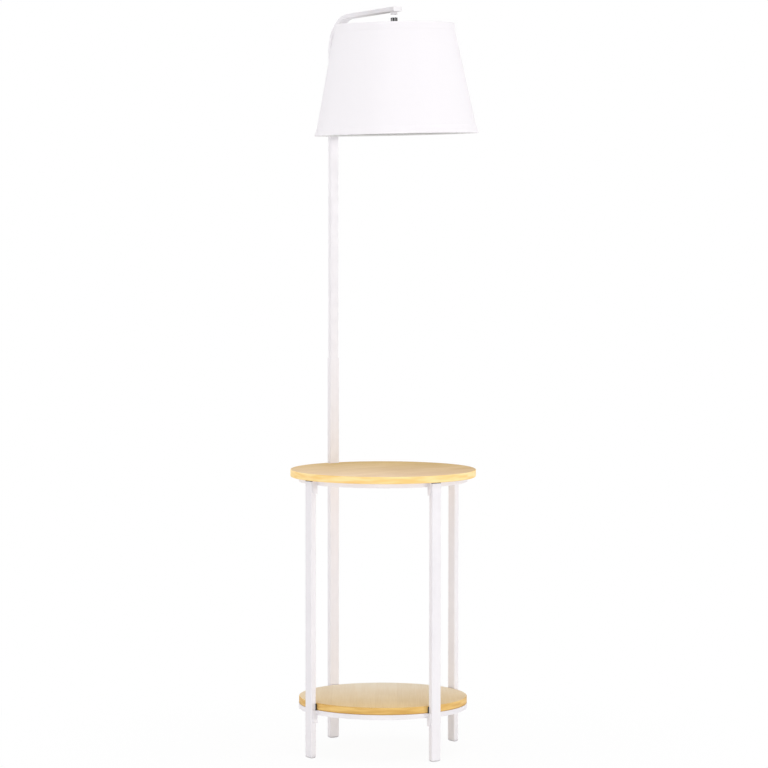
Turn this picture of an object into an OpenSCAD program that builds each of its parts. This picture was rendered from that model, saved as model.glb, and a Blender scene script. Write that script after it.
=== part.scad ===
// Floor lamp with a side table.
// Four tube legs stand on a circle under two round boards. The rear leg runs on up as
// the lamp's pole, bends over as an arm and carries the shade on a ball swivel.
// Millimetres. The origin is on the floor at the centre of the pole's foot; +X runs
// along the arm, +Z up. The table's axis stands at X = stand_r.

/* [Stand] */
// Radius of the circle that the four legs stand on, to the middle of the tubes
stand_r = 185; // [170:1:200]
// Width of a leg tube, along the circle
leg_w = 23; // [22.5:0.5:28]
// Thickness of a leg tube, towards the table's axis
leg_t = 12; // [11:0.5:15]
// Wall of every tube in the legs, the pole and the arm
tube_wall = 0.9; // [0.8:0.1:1.2]
// Radius of the tubes' rounded corners
tube_corner = 2; // [1.5:0.1:2.5]
// Height of a foot cap below the tube's end
foot_h = 8; // [6:0.5:12]
// Radius of a foot cap's lower edges under the tube's wide sides
foot_round = 4.5; // [2:0.5:5]
// Radius of a foot cap's lower edges under the tube's narrow sides
foot_end_round = 6; // [3:0.5:6]
// Length of the plug that a foot cap pushes into its tube
plug_in = 14; // [8:1:20]
// Thickness of the dark stopper between a leg's top and the table board
stopper_t = 2; // [1:0.5:4]

/* [Boards] */
// Height of the table board's top face
table_z = 596; // [500:1:700]
// Wood that the table board keeps outside the legs
table_rim = 4.5; // [3:0.5:20]
// Height of the shelf's top face
shelf_z = 116; // [90:1:300]
// Thickness of both boards
board_t = 15; // [12:1:20]
// Radius of the boards' eased edges
board_edge = 1.5; // [0.5:0.5:3]
// Gap between the shelf's rim and the legs
shelf_gap = 1.6; // [1.5:0.1:3]
// Wall of the black pads that fill this gap
pad_t = 1; // [0.8:0.1:1.1]
// Depth that a pad's sides reach along the leg
pad_side = 2; // [1:0.5:6]
// Clearance round the pole in the table board's notch
notch_gap = 0.5; // [0.3:0.1:1.5]

/* [Rings] */
// Width and height of the square tube that is rolled into a ring
ring_t = 10; // [8:0.5:12]
// Wall of the ring's tube
ring_wall = 1.2; // [1:0.1:1.6]
// Sheet thickness of the clips that hold a ring to the legs
clip_t = 2; // [1.5:0.1:2.5]
// Height of a clip, from the board down
clip_h = 27; // [24:1:40]
// Depth that a clip's sides reach along the leg
clip_side = 9; // [6:0.5:10]
// Radius of a clip's lower corners
clip_round = 8; // [3:0.5:9]
// How far a ring is let into the clips for the weld
weld_bite = 1; // [0.8:0.1:1.1]
// Height of a clip's bolt above the clip's lower end
bolt_up = 8; // [6:0.5:12]
// Radius of the clip bolts' shanks
bolt_r = 3; // [2.5:0.1:3.5]
// Length of the clip bolts' shanks
bolt_len = 9; // [7:0.5:10]
// Radius of the boards' wood screws
screw_r = 1.75; // [1.5:0.05:2.2]
// Depth that a wood screw reaches into its board
screw_in = 10; // [6:0.5:11]

/* [Pole and arm] */
// Height of the top of the leg tube that the pole stands in
joint_z = 822; // [760:1:900]
// Length of the pole's end that sits inside that tube
joint_in = 60; // [40:1:90]
// Width of the pole's tube
pole_w = 21; // [19:0.1:21]
// Thickness of the pole's tube
pole_t = 10; // [9:0.1:10]
// Height of the lamp, to the top of the arm's end
lamp_h = 1564; // [1400:1:1650]
// Distance from the pole's middle to the arm's end
arm_reach = 234; // [225:1:260]
// Angle at which the arm rises
arm_rise = 3; // [0:0.5:6]
// Radius of the bend between pole and arm, at the tube's middle
bend_r = 70; // [50:1:75]
// Distance from the arm's end back to the shade's swivel
hang_back = 12; // [7.5:0.5:15]
// Height of the cord inlet above the floor, at the back of the pole
inlet_z = 45; // [30:1:70]
// Radius of the cord inlet's bore
inlet_r = 3.4; // [3:0.1:4]

/* [Ball swivel] */
// Radius of the ball that carries the shade
ball_r = 6; // [5.5:0.1:6.2]
// Radius of the round socket under the arm
socket_r = 7.3; // [7.2:0.1:8]
// Height of the socket that shows under the arm
socket_h = 6.6; // [6:0.1:8]
// Radius of the hollow stem below the ball
stem_r = 3.8; // [3.5:0.1:4]
// Radius of the wire way through the stem
wire_r = 2.6; // [2:0.1:2.8]
// Angle that the shade leans from plumb at rest
lean = 1.3; // [0:0.1:3]
// Heading of the axis that it leans about, from the arm
lean_heading = -35.5; // [-180:0.5:180]

/* [Lamp holder] */
// Radius over the ribs of the holder's neck
neck_r = 7.35; // [7:0.05:8]
// Length of the neck
neck_h = 13; // [8:0.5:16]
// Radius of the holder's cap
cap_r = 19; // [18:0.1:20]
// Height of the holder's cap below the neck
cap_h = 26; // [22:1:30]
// Wall of the holder's cap
cap_wall = 2; // [1.5:0.1:2.5]
// Radius of the threaded barrel that the shade's ring screws on
barrel_r = 19.7; // [19:0.1:20.5]
// Length of the barrel
barrel_h = 32; // [30:1:40]
// Inner radius of the screw shell for the bulb
shell_r = 13.35; // [13.2:0.05:13.5]
// Length of the screw shell
shell_h = 24; // [20:1:25]

/* [Shade] */
// Diameter of the shade's top edge, over the hem
shade_top_d = 250; // [200:1:270]
// Diameter of the shade's bottom edge, over the hem
shade_bottom_d = 343; // [280:1:350]
// Height of the shade
shade_h = 230; // [180:1:260]
// Depth of the shade's top edge below the ball
shade_drop = 25; // [24:0.5:40]
// Thickness of the shade's cloth and its backing
cloth_t = 1; // [0.6:0.1:1.5]
// Height of the hems at both edges
hem_h = 18; // [8:1:24]
// Thickness of the hems
hem_t = 0.7; // [0.4:0.1:1.2]
// How far the cloth is drawn in beside a hem
cloth_pull = 2; // [0:0.5:4]
// Radius of the shade's wires
wire_t = 1.6; // [1.2:0.1:2.2]

/* [Hidden] */
$fn = 96;
// Running clearance of the ball, the stem and their seats
run = 0.06;
// Clearance between pieces that are pushed or screwed together
fit = 0.1;
// Clearance that keeps neighbouring pieces apart
gap = 0.3;
// Reach of a cut past the face that it opens
past = 1;

table_r = stand_r + leg_t / 2 + table_rim;
table_under = table_z - board_t;
shelf_r = stand_r - leg_t / 2 - shelf_gap;
shelf_under = shelf_z - board_t;
leg_top = table_under - stopper_t;
leg_headings = [180, 270, 0, 90];
pole_heading = leg_headings[0];

clip_in = leg_t / 2 + fit;
ring_outer = stand_r - clip_in - clip_t + weld_bite;
ring_mid = ring_outer - ring_t / 2;
nut_r = bolt_r + 1.4;
nut_len = bolt_len - clip_t - fit + 1;
// Depth of a stopper's plug, which ends a millimetre above the rivet nut
stopper_in = clip_h - bolt_up - nut_r - stopper_t - 1;
screw_headings = [45, 135, 225, 315];
screw_head_h = 2.2;
// A wood screw's head sits inside the ring's tube
screw_head_r = ring_t / 2 - ring_wall - gap;

// Height at which the bend starts, to a tenth
bend_z = round(10 * (lamp_h - pole_t / 2 * cos(arm_rise)
    - (arm_reach - bend_r) * tan(arm_rise) - bend_r / cos(arm_rise))) / 10;
arm_len = (arm_reach - bend_r) / cos(arm_rise) + bend_r * tan(arm_rise);
joint_screws = [15, 45];
joint_screw_r = 2;

hang_x = arm_reach - hang_back;
arm_under = bend_z + (bend_r - pole_t / 2) / cos(arm_rise) + (hang_x - bend_r) * tan(arm_rise);
// Height of the ball's centre, to a millimetre
ball_z = round(arm_under - socket_h + ball_r);
ball_top = ball_r * 0.7;
arm_stop = 1.5;
swing_play = 1.2;

// Depths below the ball's centre, along the shade's own axis
collar_from = ball_r + swing_play;
collar_h = 4.5;
collar_r = 5.25;
neck_from = collar_from + collar_h + gap;
cap_from = neck_from + neck_h;
cap_to = cap_from + cap_h;
cap_bend = 0.45 * cap_r;
nut_from = cap_from + cap_wall + gap;
nut_h = 3;
stem_to = nut_from + nut_h + 1;
flange_r = barrel_r + 1.8;
flange_h = 2;
spigot_h = 7;
fitter_h = 1.4;
fitter_from = cap_to + flange_h + fit;
nut_ring_from = fitter_from + fitter_h + fit;
nut_ring_h = 8;
nut_ring_r = barrel_r + 5;
barrel_to = cap_to + flange_h + barrel_h;
core_r = barrel_r - 4.4;
shell_t = 0.4;
shell_pitch = 3.6;
shell_to = barrel_to - 2;
shell_from = shell_to - shell_h;
core_h = 8;
core_rim = 5;
contact_h = 1.6;
core_to = shell_from - contact_h - gap;

shade_to = shade_drop + shade_h;
shade_slope = (shade_bottom_d - shade_top_d) / 2 / shade_h;
// Radius of the straight line between the shade's two edges, at a depth below the ball
function shade_line(s) = shade_top_d / 2 + shade_slope * (s - shade_drop);
// Depth and radius of the four corners of the shade's outline, over the hems
shade_rows = [
    [shade_drop, shade_line(shade_drop)],
    [shade_drop + hem_h, shade_line(shade_drop + hem_h) - cloth_pull],
    [shade_to - hem_h, shade_line(shade_to - hem_h) - cloth_pull],
    [shade_to, shade_line(shade_to)]
];
cloth_in = hem_t + gap;
wire_gap = cloth_in + cloth_t + gap + wire_t;
top_wire_r = shade_line(shade_drop) - wire_gap;
top_wire_s = shade_drop + wire_t + gap;
bottom_wire_s = shade_to - wire_t - gap;
hem_slope = (shade_rows[3][1] - shade_rows[2][1]) / hem_h;
bottom_wire_r = shade_rows[3][1] - hem_slope * (shade_to - bottom_wire_s) - wire_gap - fit;
arm_headings = [60, 180, 300];
fitter_r = nut_ring_r + 2.5;

white = "#f2f1f0";
wood = "#e6bd85";
steel = "#b9bbbd";
black = "#232326";
brass = "#c9a24a";
linen = "#faf9f6";

// ---- Places ----

// At the table's axis
module at_table() {
    translate([stand_r, 0, 0]) children();
}

// At a leg, with X pointing away from the table's axis
module at_leg(heading) {
    at_table() rotate(heading) translate([stand_r, 0, 0]) children();
}

// At the clip bolt of one leg, with X pointing away from the table's axis
module at_bolt(heading, under) {
    at_leg(heading) translate([-leg_t / 2, 0, under - clip_h + bolt_up]) rotate([0, 90, 0])
        children();
}

// At the start of the straight arm, with Z along it and X down
module at_arm() {
    translate([bend_r, 0, bend_z]) rotate([0, -arm_rise, 0]) translate([0, 0, bend_r])
        rotate([0, 90, 0]) children();
}

// At the ball's centre, with Z up along the leaning shade's axis
module hung() {
    translate([hang_x, 0, ball_z])
        rotate(a = lean, v = [cos(lean_heading), sin(lean_heading), 0]) children();
}

// ---- Shapes ----

// Rectangle with round corners, about the origin
module round_rect(x, y, r) {
    square([x - 2 * r, y], center = true);
    square([x, y - 2 * r], center = true);
    for (i = [-1, 1], j = [-1, 1])
        translate([i * (x / 2 - r), j * (y / 2 - r)]) circle(r, $fn = 32);
}

// Upright rectangular tube
module tube(x, y, h) {
    linear_extrude(h) difference() {
        round_rect(x, y, tube_corner);
        round_rect(x - 2 * tube_wall, y - 2 * tube_wall, tube_corner - tube_wall);
    }
}

// Piece that pushes into a tube's end, from z = 0 up
module tube_plug(x, y, h) {
    linear_extrude(h)
        round_rect(x - 2 * tube_wall - 2 * fit, y - 2 * tube_wall - 2 * fit,
            tube_corner - tube_wall);
}

// Washer or sleeve from z = 0 up
module sleeve(outer, inner, h) {
    difference() {
        cylinder(r = outer, h = h);
        translate([0, 0, -past]) cylinder(r = inner, h = h + 2 * past);
    }
}

// Half outline of a round-shouldered drum, from depth s0 down to s1
module drum_outline(r, s0, s1, bend) {
    translate([0, -s1]) square([r, s1 - s0 - bend]);
    translate([0, -s0 - bend]) square([r - bend, bend]);
    translate([r - bend, -s0 - bend]) circle(bend);
}

// Straight rod between two points given as [radius, depth]
module rod(a, b, r) {
    d = b - a;
    translate([a[0], 0, -a[1]]) rotate([0, atan2(d[0], -d[1]), 0])
        cylinder(r = r, h = norm(d), $fn = 32);
}

// Band of the shade between two of its rows, set in by `inset`, `t` thick
module shade_band(from, to, inset, t) {
    outer = [for (i = [from:to]) [shade_rows[i][1] - inset, -shade_rows[i][0]]];
    inner = [for (i = [to:-1:from]) [shade_rows[i][1] - inset - t, -shade_rows[i][0]]];
    rotate_extrude($fn = 128) polygon(concat(outer, inner));
}

// ---- Boards ----

// Round board with eased edges, its top face at z
module board(r, z) {
    at_table() translate([0, 0, z - board_t]) rotate_extrude($fn = 128) {
        square([r - board_edge, board_t]);
        translate([0, board_edge]) square([r, board_t - 2 * board_edge]);
        for (h = [board_edge, board_t - board_edge])
            translate([r - board_edge, h]) circle(board_edge, $fn = 32);
    }
}

// Wood screws of one board, grown by `grow`, with their heads inside the ring's tube
module board_screws(under, grow) {
    at_table() for (a = screw_headings) rotate(a) translate([ring_mid, 0, under - ring_wall]) {
        cylinder(r = screw_r + grow, h = ring_wall + screw_in + grow);
        translate([0, 0, -screw_head_h]) cylinder(r = screw_head_r, h = screw_head_h);
    }
}

module table_board() {
    color(wood) difference() {
        board(table_r, table_z);
        translate([-leg_t / 2 - 3 * table_rim, -leg_w / 2 - notch_gap, table_under - past])
            cube([leg_t + 3 * table_rim + notch_gap, leg_w + 2 * notch_gap,
                board_t + 2 * past]);
        board_screws(table_under, fit / 2);
    }
}

module shelf_board() {
    color(wood) difference() {
        board(shelf_r, shelf_z);
        board_screws(shelf_under, fit / 2);
    }
}

// ---- Rings with their clips ----

// U-shaped clip round the inner face of a leg, its top at z = 0
module clip() {
    outer_x = clip_t + clip_side;
    outer_y = leg_w + 2 * fit + 2 * clip_t;
    translate([-clip_in - clip_t, 0, -clip_h]) difference() {
        translate([0, -outer_y / 2, 0]) cube([outer_x, outer_y, clip_h]);
        translate([clip_t, -leg_w / 2 - fit, -past])
            cube([outer_x, leg_w + 2 * fit, clip_h + 2 * past]);
        translate([outer_x - clip_round, -outer_y, clip_round]) difference() {
            translate([0, 0, -clip_round - past])
                cube([clip_round + past, 2 * outer_y, clip_round + past]);
            rotate([-90, 0, 0]) cylinder(r = clip_round, h = 2 * outer_y);
        }
    }
}

// Rolled square tube with four welded clips, its top face under a board
module ring(under) {
    difference() {
        union() {
            at_table() translate([0, 0, under - ring_t]) rotate_extrude($fn = 128)
                difference() {
                    translate([ring_outer - ring_t, 0]) square(ring_t);
                    translate([ring_outer - ring_t + ring_wall, ring_wall])
                        square(ring_t - 2 * ring_wall);
                }
            for (a = leg_headings) at_leg(a) translate([0, 0, under]) clip();
        }
        for (a = leg_headings) at_bolt(a, under)
            translate([0, 0, -clip_t - fit - past])
                cylinder(r = bolt_r + fit, h = clip_t + 2 * past);
        at_table() for (a = screw_headings) rotate(a)
            translate([ring_mid, 0, under - ring_t - past]) {
                cylinder(r = screw_r + fit, h = ring_t + 2 * past);
                cylinder(r = screw_head_r + fit, h = ring_wall + 2 * past);
            }
    }
}

module upper_ring() {
    color(white) ring(table_under);
}

module lower_ring() {
    color(white) ring(shelf_under);
}

// ---- Legs ----

// Holes for the rivet nuts in the inner face of one leg
module nut_holes(heading) {
    for (under = [table_under, shelf_under]) at_bolt(heading, under)
        translate([0, 0, -past]) cylinder(r = nut_r + fit / 2, h = tube_wall + 2 * past);
}

module leg(heading, top) {
    difference() {
        at_leg(heading) translate([0, 0, foot_h]) tube(leg_t, leg_w, top - foot_h);
        nut_holes(heading);
    }
}

module leg_left() {
    color(white) leg(leg_headings[1], leg_top);
}

module leg_front() {
    color(white) leg(leg_headings[2], leg_top);
}

module leg_right() {
    color(white) leg(leg_headings[3], leg_top);
}

// Cap with rounded lower edges and a plug that goes into the tube
module foot(heading) {
    flat_w = leg_w / 2 - foot_end_round;
    flat_t = leg_t / 2 - foot_round;
    at_leg(heading) {
        intersection() {
            linear_extrude(foot_h) round_rect(leg_t, leg_w, tube_corner);
            union() {
                translate([-leg_t, -leg_w, foot_end_round])
                    cube([2 * leg_t, 2 * leg_w, foot_h]);
                translate([-leg_t, -flat_w, 0]) cube([2 * leg_t, 2 * flat_w, foot_h]);
                for (j = [-1, 1]) translate([-leg_t, j * flat_w, foot_end_round])
                    rotate([0, 90, 0]) cylinder(r = foot_end_round, h = 2 * leg_t);
            }
            union() {
                translate([-leg_t, -leg_w, foot_round]) cube([2 * leg_t, 2 * leg_w, foot_h]);
                translate([-flat_t, -leg_w, 0]) cube([2 * flat_t, 2 * leg_w, foot_h]);
                for (i = [-1, 1]) translate([i * flat_t, leg_w, foot_round])
                    rotate([90, 0, 0]) cylinder(r = foot_round, h = 2 * leg_w);
            }
        }
        translate([0, 0, foot_h]) tube_plug(leg_t, leg_w, plug_in);
    }
}

module foot_pole() {
    color(white) foot(leg_headings[0]);
}

module foot_left() {
    color(white) foot(leg_headings[1]);
}

module foot_front() {
    color(white) foot(leg_headings[2]);
}

module foot_right() {
    color(white) foot(leg_headings[3]);
}

// Dark stoppers in the tops of the three short legs
module leg_stoppers() {
    color(black) for (i = [1:3]) at_leg(leg_headings[i]) translate([0, 0, leg_top]) {
        linear_extrude(stopper_t) round_rect(leg_t, leg_w, tube_corner);
        mirror([0, 0, 1]) tube_plug(leg_t, leg_w, stopper_in);
    }
}

// U-shaped pads between the shelf's rim and the legs, on top of the clips
module shelf_pads() {
    reach = fit + pad_t + pad_side;
    width = leg_w + 2 * fit + 2 * pad_t;
    color(black) for (a = leg_headings)
        at_leg(a) translate([-leg_t / 2 - fit - pad_t, 0, shelf_under]) difference() {
            translate([0, -width / 2, 0]) cube([reach, width, board_t - board_edge]);
            translate([pad_t, -leg_w / 2 - fit, -past])
                cube([reach, leg_w + 2 * fit, board_t + 2 * past]);
        }
}

// ---- Fasteners ----

// Button-headed bolts through the clips of one ring
module clip_bolts(under) {
    head = bolt_r;
    for (a = leg_headings) at_bolt(a, under) translate([0, 0, -clip_t - fit]) {
        cylinder(r = bolt_r, h = bolt_len);
        intersection() {
            translate([0, 0, -head]) cylinder(r = 1.75 * bolt_r, h = head);
            translate([0, 0, bolt_r * 1.1]) sphere(r = head + bolt_r * 1.1);
        }
    }
}

module upper_bolts() {
    color(steel) clip_bolts(table_under);
}

module lower_bolts() {
    color(steel) clip_bolts(shelf_under);
}

// Threaded inserts in the legs that take the clip bolts
module rivet_nuts() {
    color(steel) for (under = [table_under, shelf_under], a = leg_headings)
        at_bolt(a, under) sleeve(nut_r, bolt_r + fit / 2, nut_len);
}

module table_screws() {
    color(steel) board_screws(table_under, 0);
}

module shelf_screws() {
    color(steel) board_screws(shelf_under, 0);
}

// Screws at the back of the pole's joint, grown by `grow`
module joint_screw_set(grow) {
    for (down = joint_screws) translate([-leg_t / 2, 0, joint_z - down]) rotate([0, 90, 0]) {
        cylinder(r = joint_screw_r + grow, h = leg_t / 2);
        translate([0, 0, -1.8]) cylinder(r = 1.7 * joint_screw_r, h = 1.8);
    }
}

module pole_screws() {
    color(steel) joint_screw_set(0);
}

// ---- Pole and arm ----

// Leg tube that the pole stands in, with the cord inlet's hole at its back
module pole_lower() {
    color(white) difference() {
        leg(pole_heading, joint_z);
        joint_screw_set(fit);
        at_leg(pole_heading) translate([0, 0, inlet_z]) rotate([0, 90, 0])
            cylinder(r = inlet_r + 1.2 + fit, h = leg_t);
    }
}

// Solid run of the pole and arm, `over` longer at both ends
module pole_run(x, y, r, over) {
    from = joint_z - joint_in - over;
    translate([0, 0, from]) linear_extrude(bend_z - from) round_rect(x, y, r);
    translate([bend_r, 0, bend_z]) rotate([90, 0, 0]) rotate(90 + arm_rise)
        rotate_extrude(angle = 90 - arm_rise, $fn = 128)
            translate([bend_r, 0]) round_rect(x, y, r);
    at_arm() linear_extrude(arm_len + over) round_rect(x, y, r);
}

module pole_upper() {
    color(white) difference() {
        pole_run(pole_t, pole_w, tube_corner, 0);
        pole_run(pole_t - 2 * tube_wall, pole_w - 2 * tube_wall, tube_corner - tube_wall, past);
        joint_screw_set(fit);
        translate([hang_x, 0, ball_z]) cylinder(r = ball_r + gap, h = ball_top + gap);
    }
}

// Rubber bush at the back of the pole, where a cord goes in
module cord_inlet() {
    barrel = tube_wall + 2;
    color(white) at_leg(pole_heading) translate([leg_t / 2, 0, inlet_z]) rotate([0, 90, 0])
        difference() {
            union() {
                cylinder(r = inlet_r + 2.6, h = 1.8);
                translate([0, 0, -barrel]) cylinder(r = inlet_r + 1.2, h = barrel);
            }
            translate([0, 0, -barrel - past])
                cylinder(r = inlet_r, h = barrel + 1.8 + 2 * past);
        }
}

// Stopper in the arm's open end
module arm_plug() {
    color(white) at_arm() translate([0, 0, arm_len]) {
        linear_extrude(arm_stop) round_rect(pole_t, pole_w, tube_corner);
        mirror([0, 0, 1]) tube_plug(pole_t, pole_w, arm_stop);
    }
}

// ---- Ball swivel ----

// Round socket welded under the arm, with the ball's seat inside
module swivel_socket() {
    color(white) difference() {
        translate([hang_x, 0, ball_z - ball_r]) cylinder(r = socket_r, h = 2 * socket_h);
        translate([hang_x, 0, arm_under]) rotate([0, -arm_rise, 0])
            translate([-2 * socket_r, -2 * socket_r, 0])
                cube([4 * socket_r, 4 * socket_r, 4 * socket_h]);
        translate([hang_x, 0, ball_z]) {
            sphere(r = ball_r + run);
            cylinder(r = ball_r + run, h = 2 * socket_h);
            translate([0, 0, -ball_r - past]) cylinder(r = stem_r + swing_play, h = ball_r);
        }
    }
}

// Ball with its hollow stem
module ball_stem() {
    color(steel) hung() difference() {
        union() {
            intersection() {
                sphere(r = ball_r);
                translate([0, 0, -ball_r]) cylinder(r = ball_r, h = ball_r + ball_top);
            }
            translate([0, 0, -stem_to]) cylinder(r = stem_r, h = stem_to);
        }
        translate([0, 0, -stem_to - past]) cylinder(r = wire_r, h = stem_to + ball_r + past);
    }
}

// Round collar on the stem, above the holder
module stem_collar() {
    color(steel) hung() translate([0, 0, -collar_from - collar_h])
        sleeve(collar_r, stem_r + run, collar_h);
}

// Nut on the stem, inside the holder's cap
module stem_nut() {
    color(steel) hung() translate([0, 0, -nut_from - nut_h]) difference() {
        cylinder(r = 7.5, h = nut_h, $fn = 6);
        translate([0, 0, -past]) cylinder(r = stem_r + run, h = nut_h + 2 * past);
    }
}

// ---- Lamp holder ----

// Cap with a ribbed neck, which turns on the stem
module holder_cap() {
    ribs = 8;
    color(black) hung() difference() {
        union() {
            translate([0, 0, -cap_from - cap_bend]) {
                cylinder(r = neck_r - 1.2, h = neck_h + cap_bend);
                intersection() {
                    cylinder(r = neck_r, h = neck_h + cap_bend);
                    for (i = [0:ribs - 1]) rotate((i + 0.5) * 360 / ribs)
                        translate([0, -1.7, 0]) cube([2 * neck_r, 3.4, neck_h + cap_bend]);
                }
            }
            rotate_extrude() drum_outline(cap_r, cap_from, cap_to, cap_bend);
        }
        rotate_extrude() drum_outline(cap_r - cap_wall, cap_from + cap_wall, cap_to + past,
            cap_bend - cap_wall);
        translate([0, 0, -cap_to]) cylinder(r = stem_r + run, h = cap_to);
    }
}

// Threaded barrel with the shoulder that the shade's fitting ring rests on
module holder_body() {
    pitch = 3;
    turns = floor((nut_ring_h + 10) / pitch);
    color(black) hung() difference() {
        union() {
            translate([0, 0, -cap_to]) cylinder(r = cap_r - cap_wall - fit, h = spigot_h);
            translate([0, 0, -cap_to - flange_h]) cylinder(r = flange_r, h = flange_h);
            translate([0, 0, -barrel_to]) cylinder(r = barrel_r - 0.6, h = barrel_h);
            for (i = [1:turns]) translate([0, 0, -cap_to - flange_h - i * pitch])
                cylinder(r = barrel_r, h = pitch / 2);
        }
        translate([0, 0, -barrel_to - past])
            cylinder(r = core_r, h = barrel_h + flange_h + spigot_h + 2 * past);
    }
}

// Insulating core with the contact on it and a rim round the screw shell's end
module holder_core() {
    color(linen) hung() translate([0, 0, -core_to]) {
        cylinder(r = core_r - fit, h = core_h);
        translate([0, 0, -core_rim])
            sleeve(core_r - fit, shell_r + shell_t + fit, core_rim);
    }
}

// Threaded shell for the bulb, with its ridges outside
module screw_shell() {
    ridges = floor((shell_to - core_to - core_rim) / shell_pitch) - 1;
    color(brass) hung() translate([0, 0, -shell_to]) difference() {
        union() {
            cylinder(r = shell_r + shell_t, h = shell_h);
            for (i = [1:ridges]) translate([0, 0, i * shell_pitch])
                cylinder(r = shell_r + 2 * shell_t, h = shell_pitch / 2);
        }
        translate([0, 0, -past]) cylinder(r = shell_r, h = shell_h + 2 * past);
    }
}

// Sprung contact in the middle of the core
module centre_contact() {
    color(brass) hung() translate([0, 0, -core_to - contact_h]) cylinder(r = 3.2, h = contact_h);
}

// Ring nut that clamps the shade to the holder, with a gripping edge
module shade_nut_ring() {
    grips = 16;
    color(black) hung() translate([0, 0, -nut_ring_from - nut_ring_h]) difference() {
        sleeve(nut_ring_r, barrel_r + fit, nut_ring_h);
        for (i = [0:grips - 1]) rotate(i * 360 / grips) translate([nut_ring_r + 0.6, 0, -past])
            cylinder(r = 1.6, h = nut_ring_h - past, $fn = 24);
    }
}

// ---- Shade ----

// Wire ring at a depth below the ball
module wire_ring(r, s) {
    translate([0, 0, -s]) rotate_extrude($fn = 128) translate([r, 0]) circle(wire_t, $fn = 24);
}

// Top wire with three arms down to the flat ring that sits on the holder
module shade_spider() {
    color(white) hung() {
        wire_ring(top_wire_r, top_wire_s);
        for (a = arm_headings) rotate(a)
            rod([fitter_r - 1.5, fitter_from + fitter_h / 2], [top_wire_r, top_wire_s], wire_t);
        translate([0, 0, -fitter_from - fitter_h]) sleeve(fitter_r, barrel_r + gap, fitter_h);
    }
}

module bottom_wire() {
    color(white) hung() wire_ring(bottom_wire_r, bottom_wire_s);
}

// Drawn cloth on a stiff backing
module shade_cloth() {
    color(linen) hung() shade_band(0, 3, cloth_in, cloth_t);
}

module top_hem() {
    color(linen) hung() shade_band(0, 1, 0, hem_t);
}

module bottom_hem() {
    color(linen) hung() shade_band(2, 3, 0, hem_t);
}

table_board();
shelf_board();
upper_ring();
lower_ring();
leg_left();
leg_front();
leg_right();
pole_lower();
pole_upper();
foot_pole();
foot_left();
foot_front();
foot_right();
leg_stoppers();
shelf_pads();
upper_bolts();
lower_bolts();
rivet_nuts();
table_screws();
shelf_screws();
pole_screws();
cord_inlet();
arm_plug();
swivel_socket();
ball_stem();
stem_collar();
stem_nut();
holder_cap();
holder_body();
holder_core();
screw_shell();
centre_contact();
shade_nut_ring();
shade_spider();
bottom_wire();
shade_cloth();
top_hem();
bottom_hem();
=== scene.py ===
"""Looks of a floor lamp with a side table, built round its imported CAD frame.

Metres, in the frame's axes: the origin is on the floor at the pole's foot, +X runs
along the arm and +Z is up. Each sub-assembly is a class that builds its pieces.
"""

import logging
import math
from collections.abc import Iterable, Sequence
from dataclasses import dataclass, field, replace
from enum import Enum
from typing import ClassVar

import bmesh
import bpy
from mathutils import Matrix, Vector

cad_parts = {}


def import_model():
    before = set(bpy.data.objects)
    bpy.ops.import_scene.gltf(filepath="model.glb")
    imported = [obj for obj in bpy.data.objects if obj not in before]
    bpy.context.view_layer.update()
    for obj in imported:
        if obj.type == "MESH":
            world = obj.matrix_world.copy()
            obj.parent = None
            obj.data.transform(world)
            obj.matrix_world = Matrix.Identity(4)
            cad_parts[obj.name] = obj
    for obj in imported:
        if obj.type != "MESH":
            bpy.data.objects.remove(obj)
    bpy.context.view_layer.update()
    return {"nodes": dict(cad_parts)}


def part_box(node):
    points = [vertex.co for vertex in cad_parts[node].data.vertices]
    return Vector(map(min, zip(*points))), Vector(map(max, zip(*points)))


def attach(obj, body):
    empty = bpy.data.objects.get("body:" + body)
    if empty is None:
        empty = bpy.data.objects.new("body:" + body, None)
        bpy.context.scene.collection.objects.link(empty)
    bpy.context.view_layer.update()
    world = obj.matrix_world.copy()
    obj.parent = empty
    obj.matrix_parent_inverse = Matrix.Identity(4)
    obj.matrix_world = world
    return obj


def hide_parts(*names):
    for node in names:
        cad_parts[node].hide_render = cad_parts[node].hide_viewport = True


LOG = logging.getLogger("lamp")
MM = 0.001
Color = tuple[float, float, float]
Pair = tuple[float, float]
Triple = tuple[float, float, float]
Outline = Sequence[Pair]
Socket = bpy.types.NodeSocket
Tree = bpy.types.NodeTree
Piece = bpy.types.Object


# ---- Finishes ----


class Figure(Enum):
    """Which surface pattern a finish carries; plain metal takes the coat's."""

    COAT = "coat"
    VENEER = "veneer"
    BAND = "band"
    WEAVE = "weave"


@dataclass(frozen=True)
class Finish:
    """A material's values; the colours are linear and the lengths are metres.

    The grain is its pattern's own length: a dimple, a strip of veneer, a yarn's pitch or
    how far up a band's foot its painted shade reaches. The painted far colours are those
    by the pole: painted shade on the table and painted light and reflection on the shelf.
    """

    name: str
    light: Color
    dark: Color
    roughness: float
    figure: Figure = Figure.COAT
    metallic: float = 0.0
    specular: float = 0.5
    coat: float = 0.0
    grain: float = 0.8 * MM
    depth: float = 0.02 * MM
    heading: float = 0.0
    painted_far_light: Color | None = None
    painted_far_dark: Color | None = None
    # Painted shade: how high above the floor a piece darkens at its foot.
    painted_shade_height: float = 0.0


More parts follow.
